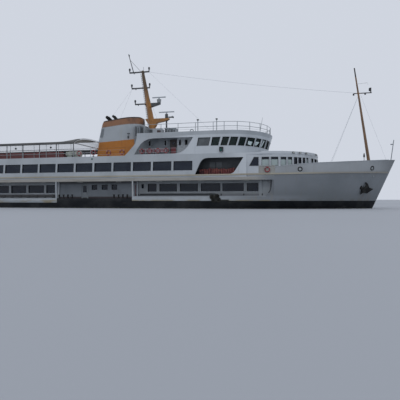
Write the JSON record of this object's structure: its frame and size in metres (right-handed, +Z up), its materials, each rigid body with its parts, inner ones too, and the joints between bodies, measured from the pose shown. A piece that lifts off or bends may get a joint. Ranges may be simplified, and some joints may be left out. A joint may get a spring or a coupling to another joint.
{
  "type": "passenger ferry, 1:2 scale model",
  "caption": "Twin-deck city passenger ferry as a scale model: hull, saloons, wheelhouse, funnel, masts, turning scanners, screws, rudders and doors.",
  "frame": {"origin": "amidships on the centreline at the waterline", "axes": "+X forward, +Y to port, +Z up"},
  "size_m": [34.0025, 6.67, 11.6561],
  "materials": {
    "white_paint": "semi-gloss marine paint, weathered",
    "black_paint": "satin marine paint, scuffed",
    "deck_paint": "matte anti-slip deck paint",
    "grey_paint": "satin paint",
    "orange_paint": "satin paint, streaked",
    "band_paint": "satin paint, faded",
    "beige_paint": "satin paint",
    "glass": "dark tinted pane",
    "dark_metal": "weathered dark metal",
    "canopy_cloth": "matte weathered sheet",
    "bench_wood": "varnished slats, worn",
    "raft_shell": "glass-reinforced shell",
    "door_paint": "satin paint",
    "bronze": "cast bronze, dulled"
  },
  "bodies": {
    "ship": {"anchor_port": "dark_metal", "anchor_starboard": "dark_metal", "boat_deck": "white_paint", "boat_deck_house": "grey_paint", "bow_bulwark": "white_paint", "bow_hull": "white_paint", "bulwark_aft": "white_paint", "bulwark_fore_port": "white_paint", "bulwark_fore_starboard": "white_paint", "canopy": "canopy_cloth", "canopy_frame": "grey_paint", "engine_casing": "orange_paint", "exhaust_pipes": "dark_metal", "foremast": "orange_paint", "funnel": "white_paint", "funnel_band": "band_paint", "hull": "black_paint", "jackstaff": "grey_paint", "life_rafts_port": "raft_shell", "life_rafts_starboard": "raft_shell", "lobby_bulkheads": "grey_paint", "main_deck": "deck_paint", "main_glass_port": "glass", "main_glass_starboard": "glass", "main_mast": "orange_paint", "main_saloon_walls": "white_paint", "middle_benches": "bench_wood", "mooring_gear": "dark_metal", "roof_deck": "white_paint", "roof_lockers": "grey_paint", "roof_rail": "white_paint", "saloon_front_glass": "glass", "saloon_front_walls": "white_paint", "shaft_line_port": "dark_metal", "shaft_line_starboard": "dark_metal", "side_bench_port": "bench_wood", "side_bench_starboard": "bench_wood", "side_screen_port": "white_paint", "side_screen_starboard": "white_paint", "strake_port": "beige_paint", "strake_starboard": "beige_paint", "threshold_port": "black_paint", "threshold_starboard": "black_paint", "upper_aft_rail": "white_paint", "upper_deck": "white_paint", "upper_glass_port": "glass", "upper_glass_starboard": "glass", "upper_saloon_walls": "white_paint", "wheelhouse_glass": "glass", "wheelhouse_walls": "white_paint"},
    "propeller_starboard_body": {"propeller_starboard": "bronze"},
    "propeller_port_body": {"propeller_port": "bronze"},
    "rudder_starboard_body": {"rudder_starboard": "black_paint"},
    "rudder_port_body": {"rudder_port": "black_paint"},
    "scanner_upper_body": {"scanner_upper": "white_paint"},
    "scanner_lower_body": {"scanner_lower": "white_paint"},
    "main_door_starboard_body": {"main_door_starboard": "grey_paint"},
    "main_door_port_body": {"main_door_port": "grey_paint"},
    "house_door_starboard_body": {"house_door_starboard": "door_paint"},
    "house_door_port_body": {"house_door_port": "door_paint"}
  },
  "joints": [
    {"name": "propeller_starboard_spin", "type": "hinge", "parent": "ship", "child": "propeller_starboard_body", "pos_m": [-13.625, -1.3, -0.75], "axis": [1, 0, 0], "continuous": true},
    {"name": "propeller_port_spin", "type": "hinge", "parent": "ship", "child": "propeller_port_body", "pos_m": [-13.625, 1.3, -0.75], "axis": [1, 0, 0], "continuous": true},
    {"name": "rudder_starboard_steer", "type": "hinge", "parent": "ship", "child": "rudder_starboard_body", "pos_m": [-14.375, -1.3, -0.75], "axis": [0, 0, 1], "range_deg": [-35, 35]},
    {"name": "rudder_port_steer", "type": "hinge", "parent": "ship", "child": "rudder_port_body", "pos_m": [-14.375, 1.3, -0.75], "axis": [0, 0, 1], "range_deg": [-35, 35]},
    {"name": "scanner_upper_spin", "type": "hinge", "parent": "ship", "child": "scanner_upper_body", "pos_m": [2.475, 0, 7.31], "axis": [0, 0, 1], "continuous": true},
    {"name": "scanner_lower_spin", "type": "hinge", "parent": "ship", "child": "scanner_lower_body", "pos_m": [3, 0, 6.31], "axis": [0, 0, 1], "continuous": true},
    {"name": "main_door_starboard_swing", "type": "hinge", "parent": "ship", "child": "main_door_starboard_body", "pos_m": [-1.818, -2.5, 0.75], "axis": [0, 0, 1], "range_deg": [-95, 0]},
    {"name": "main_door_port_swing", "type": "hinge", "parent": "ship", "child": "main_door_port_body", "pos_m": [-1.818, 2.5, 0.75], "axis": [0, 0, 1], "range_deg": [0, 95]},
    {"name": "house_door_starboard_swing", "type": "hinge", "parent": "ship", "child": "house_door_starboard_body", "pos_m": [3.987, -2.3, 3.5], "axis": [0, 0, 1], "range_deg": [-95, 0]},
    {"name": "house_door_port_swing", "type": "hinge", "parent": "ship", "child": "house_door_port_body", "pos_m": [3.987, 2.3, 3.5], "axis": [0, 0, 1], "range_deg": [0, 95]}
  ],
  "couplings": [
    {"joint": "rudder_port_steer", "follows": "rudder_starboard_steer", "ratio": 1}
  ]
}
